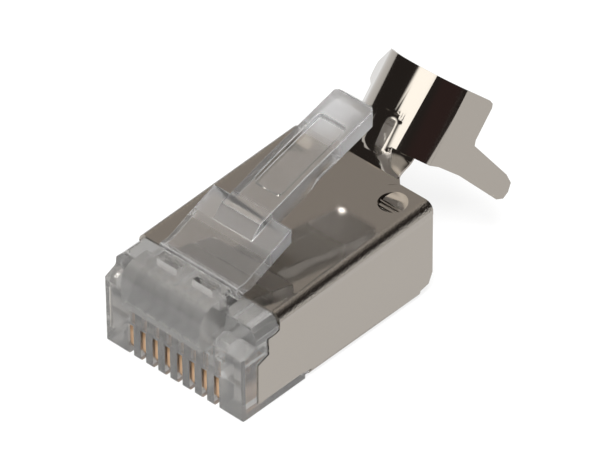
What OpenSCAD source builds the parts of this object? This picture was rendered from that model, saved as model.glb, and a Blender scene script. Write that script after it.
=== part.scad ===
// Shielded ethernet plug, eight contacts, with a bent-up cable clamp.
// Units are millimetres. X runs across the plug, Y from the mating end to the cable end,
// Z from the contact side up to the latch side. X = 0 is the middle, Y = 0 the front face.

/* [Body] */
// Overall width over the shield
plug_width = 11.68; // [11.4:0.01:11.9]
// Length of the clear moulding
body_length = 16.3; // [15.5:0.1:16.6]
// Top of the two ears beside the latch root
ear_top = 6.35; // [6:0.05:6.6]
// Top of the front side blocks
block_top = 4.85; // [4.6:0.05:5]
// Bevel on the bottom corners of the nose
nose_bevel = 0.15; // [0.1:0.05:0.5]

/* [Latch root] */
// Half width of the rounded root block
root_half = 3.27; // [3:0.01:3.4]
// How far the root block stands ahead of the front face
root_front = 1.04; // [0.8:0.02:1.2]
// Underside of the root block where it overhangs
root_bottom = 4.75; // [4.6:0.05:5]
// Top of the root block
root_top = 7.7; // [7.4:0.02:8]
// Rear wall of the root block
root_rear = 2.08; // [2:0.02:2.15]
// Radius of the root block's top front edge
root_round = 1.3; // [0.6:0.1:1.5]

/* [Latch] */
// Distance of the hinge line behind the front face
hinge_y = 2.65; // [2.6:0.05:2.7]
// Height of the hinge line
hinge_z = 7.2; // [7.1:0.05:7.3]
// Radius of the rounded hinge edge
hinge_r = 0.42; // [0.35:0.01:0.45]
// Gap round the hinge edge
hinge_gap = 0.03; // [0.02:0.01:0.06]
// Half width of the latch up to its shoulders
latch_half = 3.2; // [3:0.05:3.3]
// Half width of the finger part
finger_half = 1.6; // [1.4:0.05:1.8]
// Place of the locking shoulders
shoulder_y = 7.12; // [7:0.02:7.2]
// End of the finger part
tip_y = 16.5; // [16:0.1:16.6]

/* [Contacts] */
// Spacing of the eight contacts
pitch = 1.02; // [1:0.01:1.04]
// Thickness of a contact blade
blade_t = 0.35; // [0.3:0.01:0.4]
// Gap on each side of a blade in its slot
blade_gap = 0.04; // [0.02:0.01:0.06]
// Height of the blades' contact edge above the contact side
blade_low = 0.38; // [0.3:0.02:0.5]

/* [Shield] */
// Thickness of the shield sheet
sheet = 0.25; // [0.2:0.01:0.3]
// Gap between the shield and the moulding
fit_gap = 0.03; // [0.02:0.01:0.06]
// Front edge of the shield's top
top_front = 3.2; // [3.1:0.05:3.3]
// Rear edge of the shield
rear_y = 16.85; // [16.7:0.05:17]
// Height of the shield's top at its front edge
top_z = 6.48; // [6.4:0.02:6.5]
// Slope of the shield's top towards the rear, in degrees
top_slope = 1.8; // [1.6:0.1:2]
// Outer radius of the shield's long bends
bend_r = 0.6; // [0.5:0.05:0.8]
// Front edge of the shield's bottom flaps
flap_front = 5.9; // [5.7:0.1:6.2]
// Seam between the two bottom flaps
seam = 0.12; // [0.1:0.02:0.2]

/* [Clamp] */
// Angle of the bent-up clamp over the horizontal, in degrees
clamp_tilt = 48.1; // [46:0.1:50]
// Outer radius of the clamp's curve
clamp_r = 3.56; // [3.4:0.02:3.7]
// Splay of the right wing, in degrees
splay_right = 27.6; // [24:0.2:32]
// Splay of the left wing, in degrees
splay_left = 36; // [32:0.5:38]
// Length of the neck from the fold to the curve
neck_length = 1.5; // [1.4:0.05:1.7]
// Length of the curve along the cable
saddle_length = 5.18; // [5:0.02:5.4]
// Half width of the neck at its fold
neck_half = 2.64; // [2.4:0.02:2.8]
// Half width of the neck where it meets the curve
neck_top_half = 2.4; // [2.2:0.02:2.6]
// Radius of the rib pressed through the neck and the curve
rib_r = 2.0; // [1.8:0.1:2.2]
// Height of the rib over the sheet
rib_rise = 0.16; // [0.1:0.02:0.2]
// Reach of a wing's wide part
wing_reach = 2.1; // [1.9:0.05:2.3]
// Reach of a wing's finger
wing_finger = 5.87; // [5.6:0.01:6]

/* [Hidden] */
$fn = 48;
clear_plastic = [0.75, 0.76, 0.76, 0.45];
nickel = [0.7, 0.69, 0.67];
gold = [0.83, 0.62, 0.3];

half = plug_width / 2;
skin_in = half - sheet;
core_half = skin_in - fit_gap;
nose_half = half - 0.03;
fold_y = rear_y + 0.27;
saddle_end = neck_length + saddle_length;
slot_w = blade_t + 2 * blade_gap;
cradle_r = hinge_r + hinge_gap;
// Cable cavity, open at the rear, and the wire channels that lead out of it.
cavity_half = core_half - 0.96;
cavity_floor = 1.1;
cavity_roof = 5.6;
cavity_front = 9.4;
channel_w = 0.82 * pitch;
channel_z = 3.35;
channel_h = 1.05;
// Steps in the front edges of the shield's side walls.
lobe_gap = 0.06;
lobe_front = 1.24;
lobe_low = 0.74;
lobe_step = 3.75;
lobe_mid = 2.27;
lobe_top = 5.27;
// Stab tabs at the rear corners of the shield's top.
tab_x = half - 1.9;
tab_y = rear_y - 1.55;
tab_r = 0.95;
// Latch: its flat front strip, its slopes, and where the finger steps up and bends.
latch_flat = 3.0;
latch_slope = 22;
root_slope = 16.9;
finger_slope = 14.8;
step_y = 5.3;
kink_y = 10.1;
kink_z = hinge_z + 3.45;
finger_thick = 1.2;
finger_root_thick = 1.46;
window_depth = 0.35;
window_front = 8.3;
window_rear = 14.3;
window_half = finger_half - 0.48;
window_round = 0.3;

function top_at(y) = top_z + (y - top_front) * tan(top_slope);
function wide_top(y) = hinge_z + 0.45 + max(0, y - latch_flat) * tan(latch_slope);
function finger_top(y) = kink_z + (y - kink_y) * tan(y < kink_y ? root_slope : finger_slope);

// A side profile in Y and Z, drawn as [y, z], thickened from x0 to x1.
module across(x0, x1) {
    translate([x0, 0, 0]) rotate([90, 0, 90]) linear_extrude(x1 - x0) children();
}

// A plan outline in X and Y, from z0 to z1.
module between(z0, z1) {
    translate([0, 0, z0]) linear_extrude(z1 - z0) children();
}

// Clear moulding.
module body_profile() {
    polygon([[0, 0.1], [0.1, 0], [flap_front - 0.35, 0], [flap_front, sheet + fit_gap],
        [body_length, sheet + fit_gap], [body_length, top_at(body_length) - sheet - fit_gap],
        [top_front - fit_gap, top_at(top_front) - sheet - fit_gap], [top_front - fit_gap, ear_top],
        [1.35, ear_top], [1.25, ear_top - 0.08], [1.12, block_top + 0.47], [1.02, block_top + 0.37],
        [0.15, block_top], [0.04, block_top - 0.05], [0, block_top - 0.16]]);
}

module root_profile() {
    r = root_round;
    side_rear = 1.3;
    polygon([[-root_front, root_bottom], [0, root_bottom - 0.05], [side_rear, root_bottom],
        [side_rear, root_top], [r - root_front, root_top], [r - root_front, root_top - r],
        [-root_front, root_top - r]]);
    translate([r - root_front, root_top - r]) circle(r);
}

module root_block() {
    across(-root_half, root_half) root_profile();
    // Narrower rear part, as far as the groove in front of the latch.
    across(-root_half + 0.4, root_half - 0.4) polygon([[1, ear_top - 0.1], [root_rear, ear_top - 0.1],
        [root_rear, root_top - 0.05], [1, root_top - 0.05]]);
}

module wire_channels() {
    for (i = [0:7]) translate([(i - 3.5) * pitch - channel_w / 2, 0.9, channel_z])
        cube([channel_w, cavity_front - 1.8, channel_h]);
    translate([0.1 - cavity_half, cavity_front - 3.2, channel_z - 0.25])
        cube([2 * cavity_half - 0.2, 3, channel_h + 0.5]);
}

module cable_cavity() {
    across(-cavity_half, cavity_half) polygon([[cavity_front - 1.2, channel_z - 0.85],
        [cavity_front, cavity_floor], [body_length + 1, cavity_floor], [body_length + 1, cavity_roof],
        [cavity_front, cavity_roof], [cavity_front - 1.2, cavity_roof - 0.7]]);
}

module contact_slots() {
    for (i = [0:7]) translate([(i - 3.5) * pitch - slot_w / 2, 0, 0]) {
        translate([0, -1, -1]) cube([slot_w, 2, 3.4]);
        translate([0, 0.45, -1]) cube([slot_w, 2.75, 4.6]);
    }
}

module root_pockets() {
    // Two moulded pockets behind the rounded edge, and a gate mark between them.
    for (s = [-1, 1]) translate([s * 1.47 - 0.83, 1.12, root_top - 1.2]) cube([1.66, 0.72, 2]);
    translate([0, 0.3, root_top - 0.05]) difference() {
        cylinder(r = 0.42, h = 0.2);
        translate([0, 0, -1]) cylinder(r = 0.34, h = 2);
        translate([-1, 0, -1]) cube([2, 1, 2]);
    }
}

module side_recess() {
    // Room for the shield's side walls and their stepped front edges.
    g = lobe_gap;
    across(core_half, half + 1) polygon([[lobe_front - g, lobe_low - g], [lobe_front - g, lobe_step + g],
        [lobe_mid - 2 * g, lobe_step + 0.32 + g], [lobe_mid - 0.1 - g, lobe_top + g],
        [lobe_mid + 0.5, lobe_top + g], [top_front - 0.1, lobe_top + 0.1 + g], [top_front - 0.03, top_z + 1],
        [body_length + 1, top_z + 1], [body_length + 1, -1], [flap_front - 0.15, -1],
        [flap_front - 0.15, 0.5], [4.96 - g, lobe_low - g]]);
}

module housing_shell() {
    difference() {
        union() {
            across(-nose_half, nose_half) body_profile();
            root_block();
            web();
        }
        for (s = [-1, 1]) {
            // Bevels: the ears' outer edges, the nose's bottom edges and its front corners.
            translate([s * (nose_half + 0.05), 0, ear_top + 0.05]) rotate([0, 45, 0])
                cube([0.9, 8, 0.9], center = true);
            translate([s * nose_half, -0.1, 0]) rotate([0, 45, 0])
                cube([nose_bevel * 1.42, 11.8, nose_bevel * 1.42], center = true);
            translate([s * nose_half, 0, 3]) rotate([0, 0, 45]) cube([0.25, 0.25, 7], center = true);
            mirror([s < 0 ? 1 : 0, 0, 0]) side_recess();
            // Room for the shield's bends along its top and bottom edges.
            translate([s * core_half, 10.2, top_at(10.2) - sheet - fit_gap]) rotate([top_slope, 0, 0])
                rotate([0, 45, 0]) cube([0.56, 14.1, 0.56], center = true);
            translate([s * core_half, flap_front + 6.5, sheet + fit_gap]) rotate([0, 45, 0])
                cube([0.56, 14, 0.56], center = true);
        }
        wire_channels();
        cable_cavity();
        contact_slots();
        root_pockets();
        tab_pockets();
        hinge_cradle();
    }
}

module web() {
    // Short web behind the root block, carrying the hinge line.
    across(-latch_half + 0.25, latch_half - 0.25) polygon([[1.5, ear_top - 0.1], [hinge_y, ear_top - 0.1],
        [hinge_y, hinge_z + 0.1], [1.5, hinge_z + 0.1]]);
}

module hinge_cradle() {
    translate([-latch_half - 1, hinge_y, hinge_z]) rotate([0, 90, 0])
        cylinder(r = cradle_r, h = 2 * latch_half + 2);
}

module tab_pockets() {
    for (s = [-1, 1]) translate([s * tab_x, tab_y, top_z - 1.5]) cylinder(r = tab_r + 0.15, h = 3);
}

module housing() {
    color(clear_plastic) housing_shell();
}

// Latch lever, its rounded front edge lying in the cradle of the moulding.
module wide_profile() {
    translate([hinge_y, hinge_z]) circle(hinge_r);
    polygon([[hinge_y - 0.36, hinge_z + 0.1], [hinge_y - 0.36, wide_top(0) - 0.06],
        [hinge_y - 0.3, wide_top(0)], [latch_flat, wide_top(0)], [shoulder_y, wide_top(shoulder_y)],
        [shoulder_y, wide_top(shoulder_y) - 1.05], [3.5, hinge_z - 0.32],
        [hinge_y + 0.25, hinge_z - 0.32], [hinge_y, hinge_z]]);
}

module finger_profile() {
    edge = 0.25;
    polygon([[step_y, wide_top(step_y)], [step_y + 0.78, finger_top(step_y + 0.78)],
        [kink_y, finger_top(kink_y)], [tip_y - edge, finger_top(tip_y - edge)],
        [tip_y, finger_top(tip_y) - edge], [tip_y, finger_top(tip_y) - finger_thick + edge],
        [tip_y - edge, finger_top(tip_y - edge) - finger_thick],
        [kink_y + 1.2, finger_top(kink_y + 1.2) - finger_thick],
        [kink_y + 0.4, finger_top(kink_y + 0.4) - finger_root_thick],
        [step_y + 2.2, finger_top(step_y + 2.2) - finger_root_thick], [step_y, wide_top(step_y) - 0.9]]);
}

module finger_window() {
    // Shallow window with rounded corners, sunk into the finger's top face.
    r = window_round;
    length = window_rear - window_front;
    intersection() {
        across(-window_half, window_half) polygon([[window_front, finger_top(window_front) - window_depth],
            [kink_y, kink_z - window_depth], [window_rear, finger_top(window_rear) - window_depth],
            [window_rear, finger_top(window_rear) + 1], [window_front, finger_top(window_front) + 1]]);
        between(hinge_z, hinge_z + 7) {
            translate([r - window_half, window_front]) square([2 * (window_half - r), length]);
            translate([-window_half, window_front + r]) square([2 * window_half, length - 2 * r]);
            for (s = [-1, 1]) for (y = [window_front + r, window_rear - r])
                translate([s * (window_half - r), y]) circle(r);
        }
    }
}

module latch_lever() {
    color(clear_plastic) difference() {
        union() {
            across(-latch_half, latch_half) wide_profile();
            across(-finger_half, finger_half) finger_profile();
        }
        finger_window();
        // Rounded corners at the finger's tip.
        for (s = [-1, 1]) translate([s * finger_half, tip_y, 11]) rotate([0, 0, 45])
            cube([0.62, 0.62, 4], center = true);
    }
}

// Shield, one folded sheet with its cable clamp.
module side_outline() {
    polygon([[lobe_front, lobe_low], [lobe_front + 0.07, lobe_step], [lobe_mid, lobe_step + 0.33],
        [lobe_mid - 0.08, lobe_top], [lobe_mid + 0.55, lobe_top + 0.01], [top_front - 0.03, lobe_top + 0.1],
        [top_front, lobe_top + 0.33], [top_front, top_z - bend_r], [rear_y, top_at(rear_y) - bend_r],
        [rear_y, 1.5], [rear_y - 0.35, 0.75], [rear_y - 1.1, bend_r], [flap_front, bend_r],
        [5.0, lobe_low]]);
}

module rim(r) {
    // Cross section of the top: flat with one quarter bend at each side.
    difference() {
        union() {
            translate([-half + r, -r]) square([plug_width - 2 * r, r]);
            for (s = [-1, 1]) translate([s * (half - r), -r]) circle(r);
        }
        translate([-half + r, -r - 1]) square([plug_width - 2 * r, r + 1 - sheet]);
        for (s = [-1, 1]) translate([s * (half - r), -r]) circle(r - sheet);
        translate([-half - 1, -2 * r - 1]) square([plug_width + 2, r + 1]);
    }
    for (s = [-1, 1]) translate([s * (half - sheet / 2), -r - 0.1]) square([sheet, 0.4], center = true);
}

module top_plate() {
    length = (rear_y - top_front) / cos(top_slope);
    difference() {
        translate([0, top_front, top_z]) rotate([top_slope, 0, 0]) translate([0, length, 0])
            rotate([90, 0, 0]) linear_extrude(length) rim(bend_r);
        for (s = [-1, 1]) translate([s * tab_x, tab_y, top_z - 1.5]) cylinder(r = tab_r, h = 3);
    }
    // Stab tabs pressed down through the top, one at each rear corner.
    for (s = [-1, 1]) translate([s * tab_x, tab_y, top_z]) intersection() {
        translate([0, 0, -1.5]) cylinder(r = tab_r + 0.02, h = 3);
        union() {
            translate([0, 0, 0.04]) rotate([17, 0, 0]) cube([2, 2.3, sheet], center = true);
            for (k = [0:2]) translate([0, k * 0.26 - 0.66, k * 0.1 - 0.1])
                cube([2, 0.2, 0.26], center = true);
        }
    }
}

module bottom_flaps() {
    // Two flaps folded under the moulding, meeting at the middle seam.
    difference() {
        translate([0, rear_y - 1.1, 0]) rotate([90, 0, 0]) linear_extrude(rear_y - 1.1 - flap_front)
            mirror([0, 1, 0]) rim(bend_r);
        translate([-seam / 2, 0, -1]) cube([seam, 20, 2]);
    }
}

// The neck starts flat at the fold and curves over into the saddle.
function saddle_y(x) = clamp_r - sqrt(clamp_r * clamp_r - x * x);
function neck_y(x, k) = saddle_y(x) * (3 * k * k - 2 * k * k * k);
NECK_U = 12;
NECK_V = 8;
// Its last rows thin a little, so that they end inside the saddle's wall.
TUCK = 0.07;
function neck_pt(i, j, inner) = let (k = j / NECK_V,
    x = (neck_half + (neck_top_half - neck_half) * k) * (2 * i / NECK_U - 1))
    [x, neck_y(x, k) + (inner ? sheet - TUCK * k : TUCK * k), k * (neck_length + 0.12)];

module neck() {
    w = NECK_U + 1;
    n = w * (NECK_V + 1);
    outer = [for (j = [0:NECK_V]) for (i = [0:NECK_U]) neck_pt(i, j, false)];
    inner = [for (j = [0:NECK_V]) for (i = [0:NECK_U]) neck_pt(i, j, true)];
    quads = [for (j = [0:NECK_V - 1]) for (i = [0:NECK_U - 1]) let (a = j * w + i)
        each [[a, a + w, a + 1], [a + 1, a + w, a + w + 1],
        [n + a, n + a + 1, n + a + w], [n + a + 1, n + a + w + 1, n + a + w]]];
    sides = [for (j = [0:NECK_V - 1]) let (a = j * w, b = a + w - 1)
        each [[a, n + a, a + w], [a + w, n + a, n + a + w],
        [b, b + w, n + b], [b + w, n + b + w, n + b]]];
    ends = [for (i = [0:NECK_U - 1]) let (a = i, b = NECK_V * w + i)
        each [[a, a + 1, n + a], [a + 1, n + a + 1, n + a],
        [b, n + b, b + 1], [b + 1, n + b, n + b + 1]]];
    polyhedron(concat(outer, inner), concat(quads, sides, ends));
}

module saddle_section() {
    // Curve of the clamp as seen along the cable: from one wing's root to the other.
    difference() {
        translate([0, clamp_r]) circle(clamp_r);
        translate([0, clamp_r]) circle(clamp_r - sheet);
        translate([0, clamp_r]) polygon([[0, 0], [8 * cos(splay_right), -8 * sin(splay_right)], [8, 9],
            [-8, 9], [-8 * cos(splay_left), -8 * sin(splay_left)]]);
    }
}

module wing_outline_right() {
    polygon([[-0.02, neck_length], [0.6, 1.65], [wing_reach + 0.1, 1.68], [5.35, 1.28],
        [wing_finger - 0.1, 1.5], [wing_finger, 2.0], [wing_finger - 0.12, 2.6], [5.2, 2.95],
        [wing_reach + 0.12, 3.75], [wing_reach, 4.1], [wing_reach, saddle_end - 0.35],
        [wing_reach - 0.1, saddle_end - 0.1], [wing_reach - 0.35, saddle_end], [-0.02, saddle_end]]);
}

module wing_outline_left() {
    polygon([[-0.02, neck_length], [wing_reach - 0.3, neck_length], [wing_reach, neck_length + 0.3],
        [wing_reach, 3.7], [wing_reach + 0.2, 3.95], [5.3, 4.05], [wing_finger - 0.12, 4.3],
        [wing_finger, 4.75], [wing_finger - 0.3, 5.2], [wing_reach, 6.1], [-0.02, saddle_end]]);
}

module wing(side, splay) {
    // A flat wing that leaves the saddle along its tangent.
    a = 90 - splay;
    mirror([side < 0 ? 1 : 0, 0, 0])
        translate([clamp_r * sin(a), clamp_r - clamp_r * cos(a), 0]) rotate([0, 0, a])
            rotate([90, 0, 0]) translate([0, 0, -sheet]) linear_extrude(sheet) children();
}

module fold() {
    // Flat strip between the top plate and the neck, with a fillet at each side.
    translate([0, rear_y, top_at(rear_y) - sheet]) {
        translate([-neck_half, -0.05, 0]) cube([2 * neck_half, fold_y - rear_y + 0.15, sheet]);
        for (s = [-1, 1]) translate([s * neck_half, 0, 0]) rotate([0, 0, 45])
            translate([-0.35, -0.35, 0]) cube([0.7, 0.7, sheet]);
    }
}

module rib(r) {
    // Capsule for the stiffening rib pressed outwards, from the neck into the curve.
    translate([0, rib_r - rib_rise, 1.35]) {
        cylinder(r = r, h = 1.55);
        for (z = [0, 1.55]) translate([0, 0, z]) sphere(r);
    }
}

module clamp() {
    translate([0, fold_y, top_at(rear_y)]) rotate([clamp_tilt - 90, 0, 0]) {
        difference() {
            union() {
                neck();
                translate([0, 0, neck_length]) linear_extrude(saddle_length) saddle_section();
                intersection() {
                    rib(rib_r);
                    translate([-2, -1, -1]) cube([4, 1 + 0.8 * sheet, 6]);
                }
            }
            rib(rib_r - sheet);
        }
        wing(1, splay_right) wing_outline_right();
        wing(-1, splay_left) wing_outline_left();
    }
}

module shield() {
    color(nickel) {
        top_plate();
        for (s = [-1, 1]) mirror([s < 0 ? 1 : 0, 0, 0]) across(skin_in, half) side_outline();
        bottom_flaps();
        fold();
        clamp();
    }
}

// Contact blade: flat contact edge below, two piercing teeth above.
module blade_profile() {
    r = 0.45;
    polygon([[0.12, blade_low + r], [0.12 + r * 0.29, blade_low + r * 0.29], [0.12 + r, blade_low],
        [3.0, blade_low], [3.0, 2.75], [2.72, 3.3], [2.45, 2.6], [1.95, 2.6], [1.68, 3.3],
        [1.4, 2.6], [1.15, 2.6], [0.88, 3.3], [0.6, 2.85], [0.6, 2.35], [0.12, 2.35]]);
}

module contact(i) {
    color(gold) translate([(i - 4.5) * pitch, 0, 0]) across(-blade_t / 2, blade_t / 2) blade_profile();
}

module contact_1() { contact(1); }
module contact_2() { contact(2); }
module contact_3() { contact(3); }
module contact_4() { contact(4); }
module contact_5() { contact(5); }
module contact_6() { contact(6); }
module contact_7() { contact(7); }
module contact_8() { contact(8); }

housing();
latch_lever();
shield();
contact_1();
contact_2();
contact_3();
contact_4();
contact_5();
contact_6();
contact_7();
contact_8();
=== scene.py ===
"""Shielded ethernet plug with a clear body: looks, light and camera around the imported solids."""
import math

import bmesh
import bpy
from mathutils import Matrix, Vector


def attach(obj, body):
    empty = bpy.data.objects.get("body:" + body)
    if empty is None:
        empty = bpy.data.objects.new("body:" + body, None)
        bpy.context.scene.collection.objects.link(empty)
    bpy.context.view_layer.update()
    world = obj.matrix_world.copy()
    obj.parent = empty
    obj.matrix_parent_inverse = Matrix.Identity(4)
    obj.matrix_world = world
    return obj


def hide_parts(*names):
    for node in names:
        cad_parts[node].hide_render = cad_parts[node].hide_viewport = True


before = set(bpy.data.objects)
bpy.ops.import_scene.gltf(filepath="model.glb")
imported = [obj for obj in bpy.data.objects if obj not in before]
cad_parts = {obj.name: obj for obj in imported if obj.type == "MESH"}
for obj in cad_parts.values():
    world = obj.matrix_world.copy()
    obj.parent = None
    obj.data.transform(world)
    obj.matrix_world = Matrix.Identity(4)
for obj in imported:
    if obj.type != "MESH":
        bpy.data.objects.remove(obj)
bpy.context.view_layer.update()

MM = 0.001
CONTACTS = [f"contact_{n}" for n in range(1, 9)]

# Camera, from the straight edges and the known width in the photograph.
IMAGE_WIDTH = 600
FOCAL_PIXELS = 6252.0
CAMERA_AZIMUTH = 43.26
CAMERA_ELEVATION = 39.63
CAMERA_ROLL = -0.54
CAMERA_DISTANCE = 380 * MM
CAMERA_TARGET = Vector((0.64, 10.55, 5.39)) * MM
SENSOR_WIDTH = 36.0

# Where the latch root's frosted skin fades out, behind the root and below it.
ROOT_REAR = (1.1 * MM, 1.5 * MM)
ROOT_BOTTOM = (4.2 * MM, 4.7 * MM)
# The shield's half width and rear edge, and the heights over which its bends' grain sets in.
SHIELD_HALF_WIDTH = 5.84 * MM
SHIELD_REAR = 16.85 * MM
BEND_HEIGHT = (5.7 * MM, 6.1 * MM)
# Half width and top of the pressed neck.
NECK_HALF_WIDTH = 2.2 * MM
NECK_TOP = 9.6 * MM
# Where the latch's step up to the finger starts and ends, and where the thumb's pad starts.
LATCH_STEP = (5.3 * MM, 7.0 * MM)
PAD_FRONT = 13.2 * MM
# Heights over which painted shade darkens the contacts towards their slot roofs.
PAINTED_SLOT_SHADE = (1.6 * MM, 2.3 * MM)

# Points closer than this are merged, and faces that turn less than this, in degrees, are one.
SAME_POINT = 0.002 * MM
SAME_FACE_TURN = 2
# Width of the small rounded edges on each piece.
MOULDED_EDGE = 0.06 * MM
LATCH_EDGE = 0.07 * MM
SHEARED_EDGE = 0.05 * MM
# Least turn of an edge, in degrees, that gets rounded on a moulding and on the sheet.
MOULDING_TURN = 25
SHEET_TURN = 55
# Steepest turn, in degrees, that is still shaded smooth.
SMOOTH_TURN = 32

POLYCARBONATE_IOR = 1.585

# Studio round the plug: azimuth, elevation, spread, softness, colour of each glow.
STUDIO_DARK = (0.035, 0.03, 0.028)
STUDIO_CARDS = (
    (0, 34, 15, 7, (2.2, 2.2, 2.15)),
    (223, 40, 18, 22, (0.39, 0.37, 0.35)),
    (60, 12, 14, 16, (0.015, 0.0015, 0.0025)),
    (262, 56, 10, 16, (0.6, 0.56, 0.5)),
    (0, 88, 14, 14, (0.5, 0.48, 0.45)),
)
# The lamp's azimuth, elevation, width in metres and power in watts.
KEY_LAMP = (43, 66, 0.25, 5)
LAMP_DISTANCE = 0.5
FLOOR_SIZE = 4.0
FLOOR_DROP = 0.05 * MM
FLOOR_WHITENESS = 0.85
# How bright the floor looks in the metal, and through clear plastic.
FLOOR_IN_METAL = 0.73
FLOOR_THROUGH_PLASTIC = 0.34
# Colour of the studio through clear plastic.
STUDIO_THROUGH_PLASTIC = (0.22, 0.21, 0.20)


def view_direction(azimuth, elevation):
    """Direction from the object to a viewer, with azimuth 0 in front of the mating end."""
    a, e = math.radians(azimuth), math.radians(elevation)
    return Vector((math.sin(a) * math.cos(e), -math.cos(a) * math.cos(e), math.sin(e)))


def add_camera():
    back = view_direction(CAMERA_AZIMUTH, CAMERA_ELEVATION)
    roll = Matrix.Rotation(math.radians(CAMERA_ROLL), 4, "Z").to_quaternion()
    turn = back.to_track_quat("Z", "Y") @ roll
    data = bpy.data.cameras.new("camera")
    data.sensor_width = SENSOR_WIDTH
    data.lens = FOCAL_PIXELS * SENSOR_WIDTH / IMAGE_WIDTH
    data.clip_start = 10 * MM
    data.clip_end = 5.0
    camera = bpy.data.objects.new("camera", data)
    camera.location = CAMERA_TARGET + back * CAMERA_DISTANCE
    camera.rotation_euler = turn.to_euler()
    bpy.context.collection.objects.link(camera)
    bpy.context.scene.camera = camera


def new_material(name):
    material = bpy.data.materials.new(name)
    material.use_nodes = True
    nodes = material.node_tree.nodes
    return material, nodes, material.node_tree.links, nodes["Principled BSDF"]


def math_node(nodes, links, operation, *values, clamp=False):
    node = nodes.new("ShaderNodeMath")
    node.operation = operation
    node.use_clamp = clamp
    for socket, value in zip(node.inputs, values):
        if isinstance(value, (int, float)):
            socket.default_value = value
        else:
            links.new(value, socket)
    return node.outputs[0]


def ramp_between(nodes, links, value, low, high, at_low, at_high):
    """Value mapped smoothly from low..high to at_low..at_high."""
    node = nodes.new("ShaderNodeMapRange")
    node.interpolation_type = "SMOOTHSTEP"
    ends = {"From Min": low, "From Max": high, "To Min": at_low, "To Max": at_high}
    for name, number in ends.items():
        node.inputs[name].default_value = number
    links.new(value, node.inputs["Value"])
    return node.outputs["Result"]


def place_axes(nodes, links):
    """The point on the object, in metres, as a vector and as its X, Y and Z."""
    place = nodes.new("ShaderNodeTexCoord")
    split = nodes.new("ShaderNodeSeparateXYZ")
    links.new(place.outputs["Object"], split.inputs["Vector"])
    return place.outputs["Object"], split.outputs


def unevenness_group():
    """Slow change of a value over a surface, for ripples, stains, burrs and grain."""
    group = bpy.data.node_groups.new("unevenness", "ShaderNodeTree")
    sockets = (("Place", "INPUT", "NodeSocketVector"), ("Scale", "INPUT", "NodeSocketFloat"),
               ("Detail", "INPUT", "NodeSocketFloat"), ("Height", "OUTPUT", "NodeSocketFloat"))
    for name, side, kind in sockets:
        group.interface.new_socket(name, in_out=side, socket_type=kind)
    nodes, links = group.nodes, group.links
    given, result = nodes.new("NodeGroupInput"), nodes.new("NodeGroupOutput")
    cloud = nodes.new("ShaderNodeTexNoise")
    links.new(given.outputs["Place"], cloud.inputs["Vector"])
    links.new(given.outputs["Scale"], cloud.inputs["Scale"])
    links.new(given.outputs["Detail"], cloud.inputs["Detail"])
    links.new(cloud.outputs["Fac"], result.inputs["Height"])
    return group


def unevenness(nodes, links, place, scale, detail=2.0):
    node = nodes.new("ShaderNodeGroup")
    node.node_tree = bpy.data.node_groups.get("unevenness") or unevenness_group()
    node.inputs["Scale"].default_value = scale
    node.inputs["Detail"].default_value = detail
    links.new(place, node.inputs["Place"])
    return node.outputs["Height"]


def colour_between(nodes, links, value, at_zero, at_one):
    node = nodes.new("ShaderNodeMix")
    node.data_type = "RGBA"
    node.inputs["A"].default_value = at_zero
    node.inputs["B"].default_value = at_one
    links.new(value, node.inputs["Factor"])
    return node.outputs["Result"]


def bump(nodes, links, height, distance, strength):
    node = nodes.new("ShaderNodeBump")
    node.inputs["Distance"].default_value = distance
    node.inputs["Strength"].default_value = strength
    links.new(height, node.inputs["Height"])
    return node.outputs["Normal"]


def clear_polycarbonate():
    """Clear moulding, with the latch root's skin a little frosted."""
    material, nodes, links, shader = new_material("clear_polycarbonate")
    shader.inputs["IOR"].default_value = POLYCARBONATE_IOR
    shader.inputs["Transmission Weight"].default_value = 0.915
    place, axes = place_axes(nodes, links)
    ahead = ramp_between(nodes, links, axes["Y"], *ROOT_REAR, 1.0, 0.0)
    high = ramp_between(nodes, links, axes["Z"], *ROOT_BOTTOM, 0.0, 1.0)
    root = math_node(nodes, links, "MULTIPLY", ahead, high)
    links.new(ramp_between(nodes, links, root, 0.0, 1.0, 0.08, 0.26), shader.inputs["Roughness"])
    tint = colour_between(nodes, links, root, (0.88, 0.87, 0.85, 1), (0.93, 0.92, 0.9, 1))
    links.new(tint, shader.inputs["Base Color"])
    ripple = unevenness(nodes, links, place, 900.0)
    links.new(bump(nodes, links, ripple, 0.01 * MM, 0.4), shader.inputs["Normal"])
    return material


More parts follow.
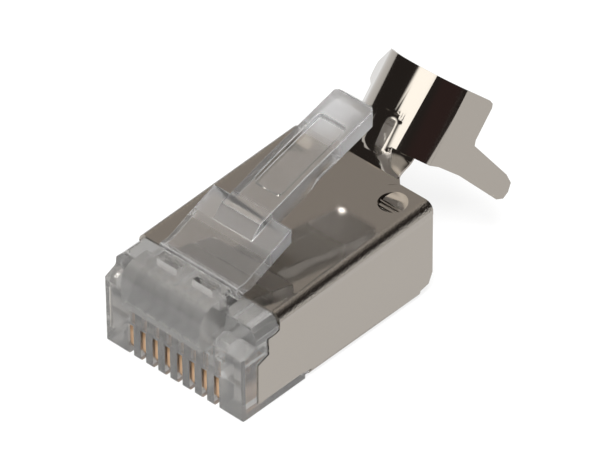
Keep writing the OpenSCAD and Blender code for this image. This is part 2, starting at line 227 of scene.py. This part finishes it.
def latch_polycarbonate():
    """Clear latch, hazy at its ramp and at the pad where the thumb presses."""
    material, nodes, links, shader = new_material("latch_polycarbonate")
    shader.inputs["IOR"].default_value = POLYCARBONATE_IOR
    shader.inputs["Transmission Weight"].default_value = 0.955
    place, axes = place_axes(nodes, links)
    pad = ramp_between(nodes, links, axes["Y"], PAD_FRONT - 1.2 * MM, PAD_FRONT + 0.6 * MM, 0.0, 1.0)
    front, rear = LATCH_STEP
    after_front = ramp_between(nodes, links, axes["Y"], front - 0.2 * MM, front + 0.1 * MM, 0.0, 1.0)
    before_rear = ramp_between(nodes, links, axes["Y"], rear - 0.1 * MM, rear + 0.4 * MM, 1.0, 0.0)
    step = math_node(nodes, links, "MULTIPLY", after_front, before_rear)
    haze = math_node(nodes, links, "MAXIMUM", pad, step)
    # Fine drag lines across the latch, as the mould left them.
    across = nodes.new("ShaderNodeMapping")
    across.inputs["Scale"].default_value = (0.12, 1.0, 0.3)
    links.new(place, across.inputs["Vector"])
    scuff = unevenness(nodes, links, across.outputs["Vector"], 4200.0, 3.0)
    scuff = ramp_between(nodes, links, scuff, 0.45, 0.75, 0.0, 0.4)
    haze = math_node(nodes, links, "MAXIMUM", haze, scuff)
    links.new(ramp_between(nodes, links, haze, 0.0, 1.0, 0.06, 0.3), shader.inputs["Roughness"])
    tint = colour_between(nodes, links, haze, (0.79, 0.785, 0.78, 1), (0.96, 0.96, 0.97, 1))
    links.new(tint, shader.inputs["Base Color"])
    ripple = unevenness(nodes, links, place, 700.0)
    links.new(bump(nodes, links, ripple, 0.012 * MM, 0.45), shader.inputs["Normal"])
    return material


def moulded_edge():
    """Edges of the moulding, paler than its faces."""
    material, nodes, links, shader = new_material("moulded_edge")
    shader.inputs["Base Color"].default_value = (0.86, 0.855, 0.845, 1)
    shader.inputs["IOR"].default_value = POLYCARBONATE_IOR
    shader.inputs["Transmission Weight"].default_value = 0.84
    place, _ = place_axes(nodes, links)
    wear = unevenness(nodes, links, place, 1800.0, 3.0)
    links.new(ramp_between(nodes, links, wear, 0.3, 0.7, 0.21, 0.27), shader.inputs["Roughness"])
    return material


def nickel_plate():
    """Bright nickel on folded sheet, its long bends grained by the folding."""
    material, nodes, links, shader = new_material("nickel_plate")
    shader.inputs["Base Color"].default_value = (0.45, 0.415, 0.372, 1)
    shader.inputs["Metallic"].default_value = 1.0
    place, axes = place_axes(nodes, links)
    side = math_node(nodes, links, "ABSOLUTE", axes["X"])
    near_side = ramp_between(
        nodes, links, side, SHIELD_HALF_WIDTH - 0.75 * MM, SHIELD_HALF_WIDTH - 0.35 * MM, 0.0, 1.0)
    near_top = ramp_between(nodes, links, axes["Z"], *BEND_HEIGHT, 0.0, 1.0)
    before_clamp = ramp_between(
        nodes, links, axes["Y"], SHIELD_REAR - 0.2 * MM, SHIELD_REAR + 0.1 * MM, 1.0, 0.0)
    bend = math_node(nodes, links, "MULTIPLY", near_side, near_top)
    bend = math_node(nodes, links, "MULTIPLY", bend, before_clamp)
    links.new(ramp_between(nodes, links, bend, 0.0, 1.0, 0.09, 0.15), shader.inputs["Roughness"])
    grain = unevenness(nodes, links, place, 9000.0, 3.0)
    grain = math_node(nodes, links, "MULTIPLY", grain, math_node(nodes, links, "MULTIPLY", bend, 3.4))
    wave = unevenness(nodes, links, place, 190.0, 1.0)
    height = math_node(nodes, links, "ADD", grain, math_node(nodes, links, "MULTIPLY", wave, 0.6))
    links.new(bump(nodes, links, height, 0.02 * MM, 0.7), shader.inputs["Normal"])
    return material


def sheared_edge():
    """Cut edge of the sheet, duller than its faces and pale, which paints the bright highlight along
    the edge.
    """
    material, nodes, links, shader = new_material("sheared_edge")
    shader.inputs["Metallic"].default_value = 0.5
    shader.inputs["Roughness"].default_value = 0.42
    place, _ = place_axes(nodes, links)
    burr = unevenness(nodes, links, place, 2500.0, 3.0)
    # The pale tint is a painted highlight on the cut edge; the burr noise varies its tone at random.
    tint = colour_between(nodes, links, burr, (0.62, 0.59, 0.54, 1), (0.9, 0.87, 0.81, 1))
    links.new(tint, shader.inputs["Base Color"])
    return material


def gold_flash():
    material, nodes, links, shader = new_material("gold_flash")
    shader.inputs["Metallic"].default_value = 1.0
    shader.inputs["Roughness"].default_value = 0.3
    place, axes = place_axes(nodes, links)
    # Random tarnish, plus painted shade that darkens the contacts higher up, as if in the shadow of
    # their slot roofs.
    tarnish_and_slot_shade = unevenness(nodes, links, place, 1500.0, 3.0)
    slot_shade = ramp_between(nodes, links, axes["Z"], *PAINTED_SLOT_SHADE, 0.0, 0.6)
    tarnish_and_slot_shade = math_node(nodes, links, "MULTIPLY", tarnish_and_slot_shade, 0.6)
    tarnish_and_slot_shade = math_node(nodes, links, "ADD", tarnish_and_slot_shade, slot_shade, clamp=True)
    tint = colour_between(nodes, links, tarnish_and_slot_shade, (0.80, 0.53, 0.33, 1), (0.30, 0.17, 0.08, 1))
    links.new(tint, shader.inputs["Base Color"])
    return material


def finish_node(node, material):
    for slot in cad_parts[node].material_slots:
        slot.material = material


def in_pressed_neck(node, point):
    """Whether a point lies where the neck and its rib run into the clamp, which stay as pressed."""
    behind = node == "shield" and point.y > SHIELD_REAR + 0.1 * MM
    return behind and abs(point.x) < NECK_HALF_WIDTH and point.z < NECK_TOP


def softened_copy(node, name, materials, width, body, least_turn):
    """A copy of a solid with small rounded edges, standing for it in the looks."""
    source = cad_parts[node]
    mesh = source.data.copy()
    mesh.transform(source.matrix_world)
    work = bmesh.new()
    work.from_mesh(mesh)
    bmesh.ops.remove_doubles(work, verts=work.verts, dist=SAME_POINT)
    bmesh.ops.dissolve_limit(
        work, angle_limit=math.radians(SAME_FACE_TURN), verts=work.verts, edges=work.edges)
    rounded = work.edges.layers.float.new("bevel_weight_edge")
    for line in work.edges:
        turn = line.calc_face_angle(0.0)
        middle = (line.verts[0].co + line.verts[1].co) / 2
        line[rounded] = float(turn > math.radians(least_turn) and not in_pressed_neck(node, middle))
    work.to_mesh(mesh)
    work.free()
    mesh.materials.clear()
    for material in materials:
        mesh.materials.append(material)
    piece = bpy.data.objects.new(name, mesh)
    bpy.context.collection.objects.link(piece)
    edge = piece.modifiers.new("edge", "BEVEL")
    edge.width = width
    edge.segments = 2
    edge.limit_method = "WEIGHT"
    edge.material = len(materials) - 1
    piece.modifiers.new("flat faces stay flat", "WEIGHTED_NORMAL").keep_sharp = True
    for face in mesh.polygons:
        face.use_smooth = True
    mesh.set_sharp_from_angle(angle=math.radians(SMOOTH_TURN))
    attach(piece, body)
    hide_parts(node)


def add_floor():
    bpy.ops.mesh.primitive_plane_add(size=FLOOR_SIZE, location=(0, 0, -FLOOR_DROP))
    floor = bpy.context.object
    floor.name = "floor"
    material, nodes, links, shader = new_material("white_table")
    shader.inputs["Base Color"].default_value = (0.92, 0.92, 0.92, 1)
    shader.inputs["Roughness"].default_value = 0.9
    glow = nodes.new("ShaderNodeEmission")
    glow.inputs["Color"].default_value = (1, 1, 1, 1)
    path = nodes.new("ShaderNodeLightPath")
    through = math_node(
        nodes, links, "MULTIPLY", path.outputs["Is Transmission Ray"], 1.0 - FLOOR_THROUGH_PLASTIC)
    mirrored = math_node(
        nodes, links, "MULTIPLY", path.outputs["Is Glossy Ray"], 1.0 - FLOOR_IN_METAL)
    dimming = math_node(nodes, links, "MAXIMUM", through, mirrored)
    links.new(math_node(nodes, links, "SUBTRACT", 1.0, dimming), glow.inputs["Strength"])
    seen = math_node(
        nodes, links, "MAXIMUM", path.outputs["Is Camera Ray"], path.outputs["Is Glossy Ray"])
    seen = math_node(nodes, links, "MAXIMUM", seen, path.outputs["Is Transmission Ray"])
    mix = nodes.new("ShaderNodeMixShader")
    links.new(math_node(nodes, links, "MULTIPLY", seen, FLOOR_WHITENESS), mix.inputs["Fac"])
    links.new(shader.outputs["BSDF"], mix.inputs[1])
    links.new(glow.outputs["Emission"], mix.inputs[2])
    # From below the table isn't there, so that the contact side can be seen.
    below = nodes.new("ShaderNodeMixShader")
    links.new(nodes.new("ShaderNodeNewGeometry").outputs["Backfacing"], below.inputs["Fac"])
    links.new(mix.outputs["Shader"], below.inputs[1])
    links.new(nodes.new("ShaderNodeBsdfTransparent").outputs["BSDF"], below.inputs[2])
    links.new(below.outputs["Shader"], nodes["Material Output"].inputs["Surface"])
    floor.data.materials.append(material)


def studio_card(nodes, links, direction, azimuth, elevation, spread, soft, colour):
    """A round glow in the studio, spread degrees wide, fading out over soft degrees."""
    toward = view_direction(azimuth, elevation)
    dot = nodes.new("ShaderNodeVectorMath")
    dot.operation = "DOT_PRODUCT"
    dot.inputs[1].default_value = toward
    links.new(direction, dot.inputs[0])
    outer, inner = math.cos(math.radians(spread + soft)), math.cos(math.radians(spread))
    mask = ramp_between(nodes, links, dot.outputs["Value"], outer, inner, 0.0, 1.0)
    scale = nodes.new("ShaderNodeVectorMath")
    scale.operation = "SCALE"
    scale.inputs[0].default_value = colour
    links.new(mask, scale.inputs["Scale"])
    return scale.outputs["Vector"]


def add_world():
    world = bpy.data.worlds.new("studio")
    bpy.context.scene.world = world
    world.use_nodes = True
    nodes, links = world.node_tree.nodes, world.node_tree.links
    background = nodes["Background"]
    direction = nodes.new("ShaderNodeTexCoord").outputs["Generated"]
    total = None
    for card in STUDIO_CARDS:
        glow = studio_card(nodes, links, direction, *card)
        if total is None:
            total = glow
            continue
        add = nodes.new("ShaderNodeVectorMath")
        links.new(total, add.inputs[0])
        links.new(glow, add.inputs[1])
        total = add.outputs["Vector"]
    base = nodes.new("ShaderNodeVectorMath")
    base.inputs[1].default_value = STUDIO_DARK
    links.new(total, base.inputs[0])
    path = nodes.new("ShaderNodeLightPath")
    through = nodes.new("ShaderNodeMix")
    through.data_type = "RGBA"
    through.inputs["B"].default_value = (*STUDIO_THROUGH_PLASTIC, 1)
    links.new(path.outputs["Is Transmission Ray"], through.inputs["Factor"])
    links.new(base.outputs["Vector"], through.inputs["A"])
    links.new(through.outputs["Result"], background.inputs["Color"])
    white = nodes.new("ShaderNodeBackground")
    white.inputs["Color"].default_value = (1, 1, 1, 1)
    mix = nodes.new("ShaderNodeMixShader")
    links.new(path.outputs["Is Camera Ray"], mix.inputs["Fac"])
    links.new(background.outputs["Background"], mix.inputs[1])
    links.new(white.outputs["Background"], mix.inputs[2])
    links.new(mix.outputs["Shader"], nodes["World Output"].inputs["Surface"])


def add_lamp(name, azimuth, elevation, size, power):
    """A square lamp that lights the plug and isn't mirrored in its metal."""
    data = bpy.data.lights.new(name, "AREA")
    data.shape = "SQUARE"
    data.size = size
    data.energy = power
    lamp = bpy.data.objects.new(name, data)
    toward = view_direction(azimuth, elevation)
    lamp.location = Vector((0, 8 * MM, 4 * MM)) + toward * LAMP_DISTANCE
    lamp.rotation_euler = toward.to_track_quat("Z", "Y").to_euler()
    lamp.visible_glossy = False
    bpy.context.collection.objects.link(lamp)


def main():
    rim, gold = moulded_edge(), gold_flash()
    softened_copy(
        "housing", "clear_body", (clear_polycarbonate(), rim), MOULDED_EDGE, "plug", MOULDING_TURN)
    softened_copy(
        "latch_lever", "press_latch", (latch_polycarbonate(), rim), LATCH_EDGE, "latch", MOULDING_TURN)
    softened_copy(
        "shield", "folded_shield", (nickel_plate(), sheared_edge()), SHEARED_EDGE, "plug", SHEET_TURN)
    for node in CONTACTS:
        finish_node(node, gold)
    add_floor()
    add_world()
    add_lamp("key_lamp", *KEY_LAMP)
    add_camera()
    bpy.context.scene.view_settings.view_transform = "Standard"


main()
